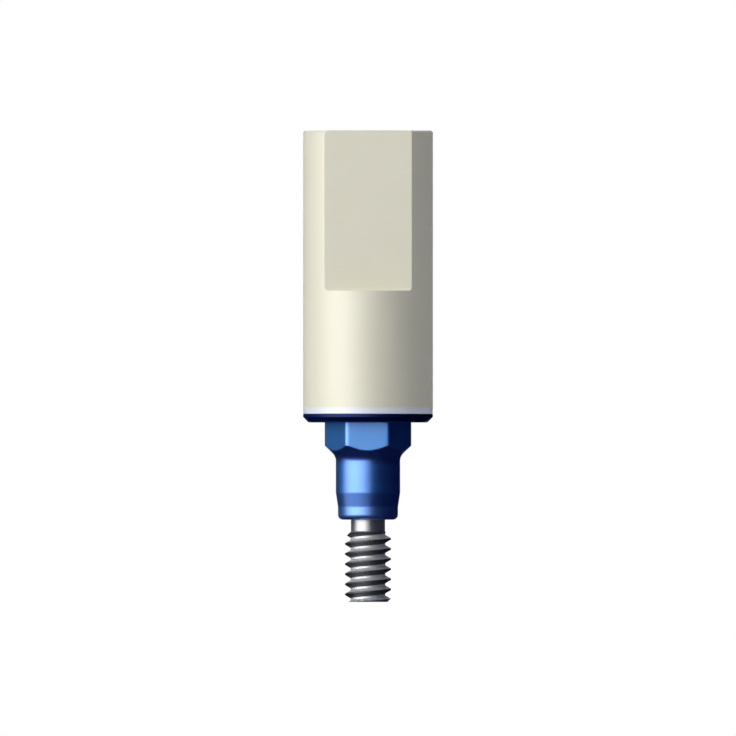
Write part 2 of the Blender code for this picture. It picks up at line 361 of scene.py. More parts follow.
def section_rings(corners: Sequence[Corner], sets: Sequence[Flats], closed: bool) -> np.ndarray:
    """The rings of a turned piece, from the corners of its half section.

    Args:
        corners: The section's corners in order.
        sets: The sets of flats that its corners speak of.
        closed: Whether the last corner runs back to the first.

    Returns:
        One row a ring: reach, height and the distance of each set of flats.
    """
    clear = tuple(flats.clear for flats in sets)
    points = [np.array((c.reach, c.height, *(c.flats or clear))) for c in corners]
    count = len(points)
    arcs = []
    for index, corner in enumerate(corners):
        inner = closed or 0 < index < count - 1
        rounding = corner.rounding if inner else 0.0
        arcs.append(arc_points(points[index - 1], points[index], points[(index + 1) % count], rounding))
    rings = []
    for index, arc in enumerate(arcs):
        rings += arc
        if closed or index < count - 1:
            start, end = arc[-1], arcs[(index + 1) % count][0]
            span = float(np.linalg.norm(end - start))
            if span > SAME_PLACE:
                rings += [start + (end - start) * share for share in run_shares(span, corners[index].steps)]
    kept = [rings[0]]
    kept += [ring for before, ring in zip(rings, rings[1:]) if np.linalg.norm(ring - before) > SAME_PLACE]
    return np.array(kept)


def ring_angles(steps: int, sets: Sequence[Flats]) -> np.ndarray:
    """The angles of a ring's vertices: even steps, and closer ones at the creases of the flats.

    Args:
        steps: How many even steps a turn has.
        sets: The sets of flats.

    Returns:
        The angles from -Y.
    """
    creases = [crease for flats in sets for crease in flats.creases()]
    close = sorted({(crease + offset) % math.tau for crease in creases for offset in CREASE_OFFSETS})
    even = [
        angle
        for angle in np.arange(steps) * math.tau / steps
        if all(abs((angle - other + math.pi) % math.tau - math.pi) > LEAST_TURN for other in close)
    ]
    return np.array(sorted([*close, *even]))


def placed(name: str, data: bpy.types.ID) -> bpy.types.Object:
    """Puts a mesh, a lamp or a camera into the scene.

    Args:
        name: The object's name.
        data: What it shows.

    Returns:
        The object, at the origin.
    """
    made = bpy.data.objects.new(name, data)
    bpy.context.scene.collection.objects.link(made)
    return made


def placed_mesh(name: str, bm: bmesh.types.BMesh) -> bpy.types.Object:
    """Turns a bmesh into an object in the scene, and frees it.

    Args:
        name: The object's name.
        bm: The bmesh.

    Returns:
        The object, at the origin.
    """
    mesh = bpy.data.meshes.new(name)
    bm.to_mesh(mesh)
    bm.free()
    return placed(name, mesh)


def turned(
    name: str,
    corners: Sequence[Corner],
    sets: Sequence[Flats],
    steps: int,
    closed: bool = True,
    creased: Sequence[Flats] = (),
) -> bpy.types.Object:
    """Turns a half section into a mesh.

    Args:
        name: The object's name.
        corners: The section's corners.
        sets: The sets of flats, whose distances go into vertex layers.
        steps: How many even steps each ring has.
        closed: Whether the last corner runs back to the first.
        creased: The sets whose creases get closer steps, where these aren't the same.

    Returns:
        The object, at the origin.
    """
    angles = ring_angles(steps, creased or sets)
    bm = bmesh.new()
    layers = [bm.verts.layers.float.new(flats.layer) for flats in sets]
    across, along = np.sin(angles) * MM, -np.cos(angles) * MM
    loops = []
    for reach, height, *distances in section_rings(corners, sets, closed):
        turns = ((0.0, 0.0),) if reach < SAME_PLACE else zip(across * reach, along * reach)
        loop = [bm.verts.new((x, y, height * MM)) for x, y in turns]
        for vert in loop:
            for layer, distance in zip(layers, distances, strict=True):
                vert[layer] = distance * MM
        loops.append(loop)
    pairs = list(zip(loops, loops[1:]))
    if closed:
        pairs.append((loops[-1], loops[0]))
    for lower, upper in pairs:
        for index in range(len(angles)):
            quad = [ring[i % len(ring)] for ring, i in ((lower, index), (lower, index + 1))]
            quad += [ring[i % len(ring)] for ring, i in ((upper, index + 1), (upper, index))]
            bm.faces.new(list(dict.fromkeys(quad)))
    bmesh.ops.recalc_face_normals(bm, faces=bm.faces)
    return placed_mesh(name, bm)


class ShapeTree(Recipe):
    """A Geometry Nodes tree that moves the vertices of a turned blank, with named inputs for its sizes."""

    def __init__(self, name: str, inputs: Mapping[str, str]) -> None:
        """Makes the tree and its inputs.

        Args:
            name: The tree's name.
            inputs: The socket type of each input, by the input's name.
        """
        super().__init__(bpy.data.node_groups.new(name, "GeometryNodeTree"))
        interface = self.tree.interface
        sockets = {"Geometry": "NodeSocketGeometry", **inputs, "Finish": "NodeSocketMaterial"}
        made = {
            key: interface.new_socket(key, in_out="INPUT", socket_type=kind)
            for key, kind in sockets.items()
        }
        interface.new_socket("Geometry", in_out="OUTPUT", socket_type="NodeSocketGeometry")
        self.identifiers = {key: socket.identifier for key, socket in made.items()}
        self.source = self.node("NodeGroupInput")
        place = self.node("GeometryNodeInputPosition").outputs[0]
        self.x, self.y, self.z = self.parts(place)
        self.reach = self.length(self.x, self.y)

    def given(self, name: str) -> Field:
        """One of the tree's inputs."""
        return Field(self, self.source.outputs[name])

    def marked(self, layer: str, value: Field) -> bpy.types.NodeSocket:
        """The tree's geometry, with a value written into a vertex layer."""
        values = {"Geometry": self.source.outputs["Geometry"], "Name": layer, "Value": value}
        return self.node("GeometryNodeStoreNamedAttribute", {"data_type": "FLOAT"}, values).outputs[0]

    def end(self, geometry: bpy.types.NodeSocket, reach: Field, chosen: Field | None = None) -> None:
        """Moves vertices straight out or in, and closes the tree with merged vertices and the piece's finish.

        Args:
            geometry: The geometry's socket.
            reach: The vertices' new distance from the axis.
            chosen: Which vertices move, or all of them.
        """
        outward = self.vector("NORMALIZE", self.combined(self.x, self.y, 0.0))
        place = self.vector("ADD", self.scaled(outward, reach), self.combined(0.0, 0.0, self.z))
        values = {"Geometry": geometry, "Position": place}
        if chosen is not None:
            values["Selection"] = chosen
        moved = self.node("GeometryNodeSetPosition", values=values)
        values = {"Geometry": moved.outputs[0], "Distance": SAME_PLACE * MM}
        merged = self.node("GeometryNodeMergeByDistance", values=values)
        real = self.node("GeometryNodeRealizeInstances", values={0: merged.outputs[0]})
        values = {"Geometry": real.outputs[0], "Material": self.source.outputs["Finish"]}
        dressed = self.node("GeometryNodeSetMaterial", values=values)
        self.node("NodeGroupOutput", values={0: dressed.outputs[0]})

    def shape(self, piece: bpy.types.Object, values: Mapping[str, Any]) -> None:
        """Runs the tree on a piece and keeps the result as its plain mesh.

        Args:
            piece: The object.
            values: A value for each of the tree's inputs, by name.
        """
        modifier = piece.modifiers.new(self.tree.name, "NODES")
        modifier.node_group = self.tree
        for name, value in values.items():
            modifier[self.identifiers[name]] = value
        piece.update_tag()
        graph = bpy.context.evaluated_depsgraph_get()
        graph.update()
        mesh = bpy.data.meshes.new_from_object(piece.evaluated_get(graph))
        piece.modifiers.remove(modifier)
        old = piece.data
        piece.data = mesh
        mesh.name = piece.name
        bpy.data.meshes.remove(old)


class FlatsTree(ShapeTree):
    """Brings a turned outline to flats, such as those of a facet or of a hexagon."""

    def __init__(self, cut: Cut) -> None:
        """Builds the tree.

        Args:
            cut: Whether the flats take the outside down or open a hollow.
        """
        inputs = {"Layer": "NodeSocketString", "Count": "NodeSocketInt", "Blend": "NodeSocketFloat"}
        super().__init__(f"flats_{cut.name.lower()}", inputs)
        distance = self._layer(self.given("Layer").socket)
        step = math.tau / self.given("Count")
        turn = self.maths("ARCTAN2", self.x, -self.y)
        off_middle = self.maths("WRAP", turn, step * 0.5, step * -0.5)
        flat = distance / self.maths("MAXIMUM", self.maths("COSINE", off_middle), LEAST_COSINE)
        reach = self.maths(cut.value, self.reach, flat, self.given("Blend"))
        taken = self.reach - flat if cut is Cut.OUTSIDE else flat - self.reach
        milled = self.maths("MAXIMUM", self._layer(MILLED_LAYER), taken.between(0.0, MILLED_DEPTH * MM))
        self.end(self.marked(MILLED_LAYER, milled), reach)

    def _layer(self, name: str | bpy.types.NodeSocket) -> Field:
        """A vertex layer as a field, which is 0 where the piece has no such layer."""
        made = self.node("GeometryNodeInputNamedAttribute", {"data_type": "FLOAT"}, {"Name": name})
        return Field(self, made.outputs["Attribute"])


class ThreadTree(ShapeTree):
    """Cuts a right-hand thread into a turned shank, and marks the flanks that face the head."""

    def __init__(self) -> None:
        """Builds the tree."""
        sizes = ("Top", "Crest Height", "Pitch", "Crest Radius", "Root Radius", "Crest Width")
        inputs = {name: "NodeSocketFloat" for name in (*sizes, "Flank Slope", "Blend")}
        super().__init__("right_hand_thread", inputs)
        pitch, crest, root = self.given("Pitch"), self.given("Crest Radius"), self.given("Root Radius")
        turns = self.maths("ARCTAN2", self.y, self.x) / math.tau
        along = (self.z - self.given("Crest Height")) / pitch - turns
        off_crest = abs(self.maths("WRAP", along, 0.5, -0.5)) * pitch
        flank = crest - (off_crest - self.given("Crest Width") * 0.5) * self.given("Flank Slope")
        eased = self.maths("SMOOTH_MIN", crest, flank, self.given("Blend"))
        ridge = self.maths("SMOOTH_MAX", eased, root, self.given("Blend"))
        reach = self.maths("MINIMUM", self.reach, ridge)
        below = self.maths("LESS_THAN", self.z, self.given("Top"))
        share = self.maths("WRAP", along, 1.0, 0.0)
        # The flanks that face the head, where the titanium finish paints a highlight
        load_flank = share.between(*FLANK_START) * share.between(*FLANK_END) * below
        self.end(self.marked(UPPER_FLANK_LAYER, load_flank), reach, below)


def cut_flats(piece: bpy.types.Object, sets: Sequence[Flats], finish: bpy.types.Material) -> None:
    """Brings a turned piece to its flats.

    Args:
        piece: The piece.
        sets: The sets of flats.
        finish: The piece's material.
    """
    for flats in sets:
        values = {"Layer": flats.layer, "Count": flats.count, "Blend": flats.blend * MM, "Finish": finish}
        FlatsTree(flats.cut).shape(piece, values)


def mark_worn_edges(mesh: bpy.types.Mesh) -> None:
    """Writes how sharply the surface turns outward at each vertex into a layer, from 0 to 1.

    Args:
        mesh: The mesh.
    """
    bm = bmesh.new()
    bm.from_mesh(mesh)
    layer = bm.verts.layers.float.new(EDGE_LAYER)
    for edge in bm.edges:
        if len(edge.link_faces) == 2:
            share = min(1.0, edge.calc_face_angle_signed() / WORN_ANGLE)
            for vert in edge.verts:
                vert[layer] = max(vert[layer], share)
    bm.to_mesh(mesh)
    bm.free()


def finish_mesh(mesh: bpy.types.Mesh, sets: Sequence[Flats]) -> None:
    """Marks a mesh's worn edges, drops the layers of its flats, and smooths its shading between its edges.

    Args:
        mesh: The mesh.
        sets: The sets of flats.
    """
    mark_worn_edges(mesh)
    for flats in sets:
        mesh.attributes.remove(mesh.attributes[flats.layer])
    mesh.shade_smooth()
    mesh.set_sharp_from_angle(angle=SMOOTH_UP_TO)


@dataclass(frozen=True)
class Waves:
    """Smooth noise.

    Attributes:
        scale: How many waves a millimetre holds.
        detail: How many finer noises it carries.
        roughness: How strong those are.
        stretch: What the coordinates are multiplied by first.
    """

    scale: float
    detail: float = 2.0
    roughness: float = 0.5
    stretch: tuple[float, float, float] | None = None


@dataclass(frozen=True)
class Band:
    """A band of heights with soft ends.

    Attributes:
        low: Its lower end.
        high: Its upper end.
        low_blur: How far the lower end fades to either side.
        high_blur: How far the upper end does.
        outside: Between which distances from the axis it sets in, or nothing where it runs to the axis.
    """

    low: float
    high: float
    low_blur: float
    high_blur: float
    outside: Span | None = None


@dataclass(frozen=True)
class Machining:
    """What cutting leaves on a surface.

    Attributes:
        rings: A lathe's rings, which run with the height and with the distance from the axis.
        grain: A fine grain all over.
        depths: How deep rings and grain are.
        dulling: How far the roughness swings with rings and with grain.
        strokes: A mill's strokes, which take the rings' place on milled flats, or nothing where none show.
    """

    rings: Waves
    grain: Waves
    depths: Span
    dulling: Span
    strokes: Waves | None = None


def emptied(owner: bpy.types.Material | bpy.types.World) -> bpy.types.NodeTree:
    """Takes the nodes out of a new material or world.

    Args:
        owner: The material or world.

    Returns:
        Its empty tree.
    """
    owner.use_nodes = True
    owner.node_tree.nodes.clear()
    return owner.node_tree


class SurfaceRecipe(Recipe):
    """The node tree of a finish, with the wear and the tool marks that all finishes have."""

    def __init__(self, name: str, cut: Machining) -> None:
        """Makes the material, reads the piece's own coordinates in millimetres and lays the tool marks.

        Args:
            name: The material's name.
            cut: What cutting leaves on it.
        """
        self.material = bpy.data.materials.new(name)
        super().__init__(emptied(self.material))
        self.place = self.scaled(self.node("ShaderNodeTexCoord").outputs["Object"], 1 / MM)
        x, y, self.z = self.parts(self.place)
        self.reach = self.length(x, y)
        self.worn = self.layer(EDGE_LAYER)
        self.marks = self.noise(cut.rings, self.combined(self.reach, 0.0, self.z))
        if cut.strokes is not None:
            self.milled, self.strokes = self.layer(MILLED_LAYER), self.noise(cut.strokes)
            self.marks = self.marks * (1.0 - self.milled) + self.strokes * self.milled
        self.grain = self.noise(cut.grain)
        self.unevenness = self.marks.swing(cut.dulling[0]) + self.grain.swing(cut.dulling[1])
        self.normal = self._bump(self.grain, cut.depths[1], self._bump(self.marks, cut.depths[0]))

    def layer(self, name: str) -> Field:
        """A vertex layer of the piece."""
        return Field(self, self.node("ShaderNodeAttribute", {"attribute_name": name}).outputs["Fac"])

    def noise(self, waves: Waves, place: bpy.types.NodeSocket | None = None) -> Field:
        """Lays noise.

        Args:
            waves: What it is like.
            place: The coordinates that it runs over, or the piece's own.

        Returns:
            The noise as a field from 0 to 1.
        """
        place = place or self.place
        if waves.stretch:
            place = self.vector("MULTIPLY", place, waves.stretch)
        values = {"Vector": place, "Scale": waves.scale, "Detail": waves.detail, "Roughness": waves.roughness}
        return Field(self, self.node("ShaderNodeTexNoise", values=values).outputs[0])

    def band(self, band: Band) -> Field:
        """Lays a band.

        Args:
            band: Where it is.

        Returns:
            A field that is 1 within it and 0 elsewhere.
        """
        within = self.z.between(band.low - band.low_blur, band.low + band.low_blur)
        within = within * self.z.between(band.high + band.high_blur, band.high - band.high_blur)
        return within * self.reach.between(*band.outside) if band.outside else within

    def _bump(
        self, height: Field, depth: float, before: bpy.types.NodeSocket | None = None
    ) -> bpy.types.NodeSocket:
        """Tilts the normal with a height field.

        Args:
            height: The field, from 0 to 1.
            depth: How deep it is.
            before: The normal that it adds to.

        Returns:
            The normal's socket.
        """
        values = {"Strength": 1.0, "Distance": depth * MM, "Height": height}
        if before is not None:
            values["Normal"] = before
        return self.node("ShaderNodeBump", values=values).outputs[0]

    def surface(
        self, colour: bpy.types.NodeSocket, rough: Field, others: Mapping[str, Any]
    ) -> bpy.types.Material:
        """Ends the tree in one Principled surface.

        Args:
            colour: Its colour.
            rough: Its roughness, before the tool marks make it uneven.
            others: What its other inputs get, by name.

        Returns:
            The material.
        """
        values = {"Base Color": colour, "Roughness": rough + self.unevenness, "Normal": self.normal, **others}
        shader = self.node("ShaderNodeBsdfPrincipled", values=values)
        self.node("ShaderNodeOutputMaterial", values={"Surface": shader.outputs[0]})
        return self.material


@dataclass(frozen=True)
class CreamPeek:
    """Satin PEEK: fine turned rings, milled marks on its flat, pale worn edges, and a polished foot with a
    painted pale highlight band.

    Attributes:
        shading: How far mottle, grain and tool marks each swing the cream towards its deeper shade.
        middle_shade: How far it lies towards that shade on the whole.
        wear: How much an edge's paler shade shows, least and most.
    """

    cream: Colour = (0.785, 0.755, 0.585)
    deeper: Colour = (0.745, 0.71, 0.535)
    paler: Colour = (0.83, 0.81, 0.72)
    # Painted highlight: a pale bluish band round the foot
    painted_foot_highlight: Colour = (0.81, 0.845, 0.90)
    foot: Band = Band(0.2, 0.515, 0.05, 0.065, (2.0, 2.2))
    top_face: Band = Band(10.09, 10.2, 0.01, 0.05)
    mottle: Waves = Waves(0.7, 3.0)
    shading: tuple[float, float, float] = (0.9, 0.5, 0.5)
    middle_shade: float = 0.35
    wear: Span = (0.35, 0.85)
    roughness: float = 0.43
    top_dulling: float = 0.33
    flat_dulling: float = 0.14
    foot_polish: float = 0.2
    edge_polish: float = 0.06
    refraction: float = 1.68
    cut: Machining = Machining(
        rings=Waves(9.0, 3.0, 0.6),
        grain=Waves(14.0),
        depths=(0.0014, 0.0008),
        dulling=(0.12, 0.08),
        strokes=Waves(4.0, 3.0, stretch=(0.35, 1.0, 5.0)),
    )

    def material(self) -> bpy.types.Material:
        """Builds the material.

        Returns:
            The material.
        """
        tree = SurfaceRecipe("cream_peek", self.cut)
        mottle = tree.noise(self.mottle)
        shade = sum(noise.swing(far) for noise, far in zip((mottle, tree.grain, tree.marks), self.shading))
        colour = tree.mix(shade + self.middle_shade, self.cream, self.deeper)
        foot = tree.band(self.foot)
        # Painted highlight: the foot band is paler and bluer in colour
        colour = tree.mix(foot, colour, self.painted_foot_highlight)
        colour = tree.mix(tree.worn * mottle.onto(*self.wear), colour, self.paler)
        top = tree.band(self.top_face) * self.top_dulling
        rough = self.roughness + tree.maths("MAXIMUM", top, tree.milled * self.flat_dulling)
        rough = rough - foot * self.foot_polish - tree.worn * self.edge_polish
        return tree.surface(colour, rough, {"IOR": self.refraction})


@dataclass(frozen=True)
class BlueAnodised:
    """Blue anodised titanium: a thin oxide over turned rings, painted shade on the cones and the flange rim,
    a painted highlight on the pilot, and worn edges that are partly a painted highlight.

    Attributes:
        film_stops: How thick the oxide is where it turns violet, blue and sky.
        drift_share: How much of its thickness drifts, and the rest follows the tool marks.
        milled_tint: How far the flats turn to their own blue, least and most.
        wear: How much the pale blue shows on an edge, least and most; it is partly real wear and partly a
            painted highlight.
        scuffed: From where to where the scuffs on the edges deepen.
    """

    violet: Colour = (0.03, 0.20, 0.75)
    blue: Colour = (0.032, 0.23, 0.79)
    sky: Colour = (0.042, 0.265, 0.84)
    milled_blue: Colour = (0.045, 0.345, 0.90)
    # Painted shade for the lead and taper cones, which face down
    painted_cone_shade: Colour = (0.018, 0.13, 0.60)
    # Pale blue for worn edges, partly real wear and partly a painted highlight; it is also the pilot's
    # painted highlight
    wear_and_highlight_blue: Colour = (0.34, 0.50, 0.78)
    # Painted shade for the flange rim
    painted_rim_shade: Colour = (0.006, 0.016, 0.12)
    edge_tint: Colour = (0.08, 0.25, 0.66)
    film_stops: tuple[float, float, float] = (0.35, 0.5, 0.68)
    drift: Waves = Waves(0.9)
    drift_share: float = 0.7
    milled_tint: Span = (0.55, 0.85)
    scuffs: Waves = Waves(5.0, 4.0, 0.7)
    scuffed: Span = (0.35, 0.75)
    wear: Span = (0.2, 0.7)
    rim: Band = Band(0.03, 0.4, 0.02, 0.05, (1.9, 2.0))
    lead: Band = Band(-1.40, -0.84, 0.12, 0.02)
    taper: Band = Band(-2.90, -2.46, 0.04, 0.04)
    pilot: Band = Band(-3.6, -2.91, 0.04, 0.04, (0.9, 0.95))
    # How much painted shade the lead and the taper get
    lead_shade: float = 0.75
    taper_shade: float = 0.45
    # How much painted highlight the pilot gets
    pilot_highlight: float = 0.12
    roughness: float = 0.42
    edge_dulling: float = 0.04
    rim_dulling: float = 0.2
    lead_polish: float = 0.1
    taper_polish: float = 0.06
    metal: float = 0.95
    coat: float = 0.95
    rim_coat: float = 0.10
    coat_roughness: float = 0.30
    coat_refraction: float = 2.05
    cut: Machining = Machining(
        rings=Waves(11.0, 3.0, 0.6),
        grain=Waves(18.0),
        depths=(0.0011, 0.0004),
        dulling=(0.16, 0.08),
        strokes=Waves(4.0, 3.0, stretch=(3.0, 3.0, 0.5)),
    )

    def material(self) -> bpy.types.Material:
        """Builds the material.

        Returns:
            The material.
        """
        tree = SurfaceRecipe("blue_anodised_titanium", self.cut)
        thickness = tree.noise(self.drift) * self.drift_share + tree.marks * (1.0 - self.drift_share)
        stops = tuple(zip(self.film_stops, (self.violet, self.blue, self.sky)))
        film = tree.node("ShaderNodeValToRGB", {"stops": stops}, {0: thickness}).outputs[0]
        rim, taper = tree.band(self.rim), tree.band(self.taper)
        lead = tree.band(self.lead) * (1.0 - tree.milled)
        colour = tree.mix(tree.milled * tree.strokes.onto(*self.milled_tint), film, self.milled_blue)
        # Painted shade: the lead and the taper, which face down, are darkened in colour
        colour = tree.mix(lead * self.lead_shade + taper * self.taper_shade, colour, self.painted_cone_shade)
        # Painted highlight: the pilot is lightened towards the pale blue
        colour = tree.mix(tree.band(self.pilot) * self.pilot_highlight, colour, self.wear_and_highlight_blue)
        # Painted shade: the flange rim is darkened in colour, and its coat is thinned below
        colour = tree.mix(rim, colour, self.painted_rim_shade)
        scuffs = tree.noise(self.scuffs).between(*self.scuffed)
        # Worn edges: partly real wear, partly a painted highlight
        colour = tree.mix(tree.worn * scuffs.onto(*self.wear) * (1.0 - rim), colour, self.wear_and_highlight_blue)
        rough = self.roughness + tree.worn * self.edge_dulling + rim * self.rim_dulling
        rough = rough - lead * self.lead_polish - taper * self.taper_polish
        others = {
            "Metallic": self.metal,
            "Specular Tint": self.edge_tint,
            "Coat Weight": self.coat - (self.coat - self.rim_coat) * rim,
            "Coat Roughness": self.coat_roughness,
            "Coat IOR": self.coat_refraction,
        }
        return tree.surface(colour, rough, others)


@dataclass(frozen=True)
class BareTitanium:
    """Bare turned titanium: its thread has a painted highlight on the flanks that face the head and painted
    shade on the other flanks.

    Attributes:
        blotched: From where to where the blotches turn duller.
        blotch_share: How far they do.
        painted_shade: How much of the painted shade on the flanks that don't face the head shows, least and
            most.
        highlight_share: How much of the painted highlight on the flanks that face the head shows, least and
            most.
        flank_metal: How metallic the flanks that face the head are, where metal is the same for the rest.
    """

    bright: Colour = (0.52, 0.525, 0.54)
    duller: Colour = (0.41, 0.41, 0.42)
    # Painted highlight for the flanks that face the head
    painted_flank_highlight: Colour = (0.82, 0.83, 0.84)
    # Painted shade for the flanks that don't face the head
    painted_flank_shade: Colour = (0.05, 0.052, 0.055)
    worn_edge: Colour = (0.72, 0.72, 0.72)
    edge_tint: Colour = (0.55, 0.56, 0.6)
    blotches: Waves = Waves(2.2, 3.0)
    blotched: Span = (0.3, 0.75)
    blotch_share: float = 0.7
    thread: Band = Band(-6.12, -3.80, 0.02, 0.05)
    painted_shade: Span = (0.8, 1.0)
    highlight_share: Span = (0.75, 1.0)
    edge_wear: float = 0.4
    roughness: float = 0.33
    thread_dulling: float = 0.15
    metal: float = 0.88
    flank_metal: float = 0.60
    cut: Machining = Machining(
        rings=Waves(14.0, 3.0, 0.6), grain=Waves(22.0), depths=(0.0012, 0.0005), dulling=(0.2, 0.1)
    )

    def material(self) -> bpy.types.Material:
        """Builds the material.

        Returns:
            The material.
        """
        tree = SurfaceRecipe("bare_titanium", self.cut)
        load_flank, threaded = tree.layer(UPPER_FLANK_LAYER), tree.band(self.thread)
        blotches = tree.noise(self.blotches)
        colour = tree.mix(blotches.between(*self.blotched) * self.blotch_share, self.bright, self.duller)
        # Painted shade: the flanks that don't face the head are darkened in colour
        painted_shade = threaded * (1.0 - load_flank) * blotches.onto(*self.painted_shade)
        colour = tree.mix(painted_shade, colour, self.painted_flank_shade)
        # Painted highlight: the flanks that face the head are lightened in colour
        colour = tree.mix(load_flank * tree.grain.onto(*self.highlight_share), colour, self.painted_flank_highlight)
        colour = tree.mix(tree.worn * self.edge_wear * (1.0 - threaded), colour, self.worn_edge)
        rough = self.roughness + threaded * self.thread_dulling
        metallic = self.metal - (self.metal - self.flank_metal) * load_flank
        return tree.surface(colour, rough, {"Metallic": metallic, "Specular Tint": self.edge_tint})


@dataclass
class ScanFlag:
    """The scan flag: a cylinder with one scan facet, a screw channel and a socket for the base's post."""

    radius: float = 2.25
    foot: float = 0.302
    top: float = 10.12
    rim_chamfer: float = 0.06
    facet_distance: float = 1.66
    ledge: float = 4.57
    facet_corner: float = 0.10
    channel_radius: float = 1.25
    mouth_chamfer: float = 0.20
    socket_radius: float = 1.71
    socket_top: float = 2.93
    socket_flare: float = 0.09
    key_distance: float = 1.51
    edge: float = 0.02
    steps: int = 256
    finish: CreamPeek = field(default_factory=CreamPeek)

    def section(self) -> list[Corner]:
        """The half section, down the outside and up through the socket and the channel.

        Returns:
            Its corners.
        """
        facet, key, fine = (self.facet_distance,), (self.key_distance,), self.edge / 2
        broken_facet = (self.facet_distance - self.edge,)
        flare_top = self.foot + self.socket_flare
        return [
            Corner(self.channel_radius + self.mouth_chamfer, self.top, fine),
            Corner(self.radius - self.rim_chamfer, self.top, fine, broken_facet),
            Corner(self.radius, self.top - self.rim_chamfer, self.edge, facet),
            Corner(self.radius, self.ledge, self.facet_corner, facet),
            Corner(self.radius, self.ledge),
            Corner(self.radius, self.foot, self.edge),
            Corner(self.socket_radius + self.socket_flare, self.foot, fine),
            Corner(self.socket_radius, flare_top),
            Corner(self.socket_radius, flare_top, flats=key),
            Corner(self.socket_radius, self.socket_top, flats=key),
            Corner(self.channel_radius, self.socket_top, fine),
            Corner(self.channel_radius, self.top - self.mouth_chamfer, fine),
        ]

    def build(self) -> bpy.types.Object:
        """Makes the flag and dresses it.

        Returns:
            The finished object.
        """
        facet = Flats("flat", 1, self.facet_distance, self.radius)
        key = Flats("flat", 1, self.key_distance, self.socket_radius)
        piece = turned("scan_flag_surface", self.section(), (facet,), self.steps, creased=(facet, key))
        cut_flats(piece, (facet,), self.finish.material())
        finish_mesh(piece.data, (facet,))
        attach(piece, Body.FLAG_AND_BASE.value)
        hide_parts("scan_flag")
        return piece


@dataclass
class ConnectionBase:
    """The connection base: post, flange, hexagon, barrel, taper and pilot, bored for the screw."""

    flange_radius: float = 2.25
    flange_top: float = 0.30
    flange_chamfer: float = 0.19
    post_radius: float = 1.70
    post_top: float = 2.90
    post_chamfer: float = 0.15
    post_fillet: float = 0.08
    key_distance: float = 1.50
    groove_heights: tuple[float, ...] = (2.22, 1.60, 0.98)
    groove_half: float = 0.14
    groove_depth: float = 0.08
    hexagon_distance: float = 1.32
    hexagon_radius: float = 1.50
    hexagon_end: float = -0.80
    hexagon_fillet: float = 0.35
    hexagon_blend: float = 0.05
    hexagon_rings: int = 20
    barrel_radius: float = 1.115
    barrel_end: float = -2.43
    taper_end: float = -2.93
    taper_fillet: float = 0.4
    pilot_radius: float = 1.04
    pilot_end: float = -3.37
    pilot_edge: float = 0.17
    screw_bore: float = 0.85
    head_bore: float = 1.18
    seat_height: float = 0.55
    bore_chamfer: float = 0.10
    edge: float = 0.015
    steps: int = 240
    finish: BlueAnodised = field(default_factory=BlueAnodised)

    def _post(self, key: Span) -> list[Corner]:
        """The post, from its top down to its root fillet.

        Args:
            key: The distances of the flats, with the post's flat cut.

        Returns:
            Its corners.
        """
        top, foot = self.post_top - self.post_chamfer, self.flange_top + self.post_fillet
        corners = [Corner(self.post_radius - self.post_chamfer, self.post_top, flats=key)]
        corners.append(Corner(self.post_radius, top, flats=key))
        floor, depth = self.groove_half - self.groove_depth, self.groove_depth
        rises = ((0.0, self.groove_half), (depth, floor), (depth, -floor), (0.0, -self.groove_half))
        for height in self.groove_heights:
            corners += [Corner(self.post_radius - sunk, height + rise, flats=key) for sunk, rise in rises]
        return [*corners, Corner(self.post_radius, foot, flats=key), Corner(self.post_radius, foot)]

    def _connection(self, flats: Span) -> list[Corner]:
        """The hexagon and what lies below it, down to the end.

        Args:
            flats: The distances of the flats, with the hexagon cut.

        Returns:
            Its corners.
        """
        lead_end = self.hexagon_end - (self.hexagon_radius - self.barrel_radius)
        return [
            Corner(self.hexagon_radius, 0.0, flats=flats),
            Corner(self.hexagon_radius, self.hexagon_end, self.edge, flats, self.hexagon_rings),
            Corner(self.barrel_radius, lead_end, self.hexagon_fillet, flats),
            Corner(self.barrel_radius, self.barrel_end, self.taper_fillet, flats),
            Corner(self.pilot_radius, self.taper_end, self.taper_fillet, flats),
            Corner(self.pilot_radius, self.pilot_end, self.pilot_edge, flats),
            Corner(self.screw_bore, self.pilot_end, flats=flats),
        ]

    def section(self, clear: float) -> list[Corner]:
        """The half section, down the outside and up the bores.

        Args:
            clear: The distance at which a flat cuts nothing.

        Returns:
            Its corners.
        """
        flats = (self.hexagon_distance, clear)
        seat_top = self.seat_height + self.head_bore - self.screw_bore
        return [
            *self._post((clear, self.key_distance)),
            Corner(self.post_radius, self.flange_top, self.post_fillet),
            Corner(self.flange_radius, self.flange_top, self.edge),
            Corner(self.flange_radius, self.flange_chamfer, self.edge),
            Corner(self.flange_radius - self.flange_chamfer, 0.0, self.edge),
            *self._connection(flats),
            Corner(self.screw_bore, self.seat_height, flats=flats),
            Corner(self.head_bore, seat_top, flats=flats),
            Corner(self.head_bore, self.post_top - self.bore_chamfer, flats=flats),
            Corner(self.head_bore + self.bore_chamfer, self.post_top, flats=flats),
        ]

    def build(self) -> bpy.types.Object:
        """Makes the base and dresses it.

        Returns:
            The finished object.
        """
        hexagon = Flats("hexagon", 6, self.hexagon_distance, self.hexagon_radius, blend=self.hexagon_blend)
        key = Flats("key", 1, self.key_distance, self.post_radius)
        sets = (hexagon, key)
        piece = turned("connection_base_surface", self.section(key.clear), sets, self.steps)
        cut_flats(piece, sets, self.finish.material())
        finish_mesh(piece.data, sets)
        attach(piece, Body.FLAG_AND_BASE.value)
        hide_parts("connection_base")
        return piece


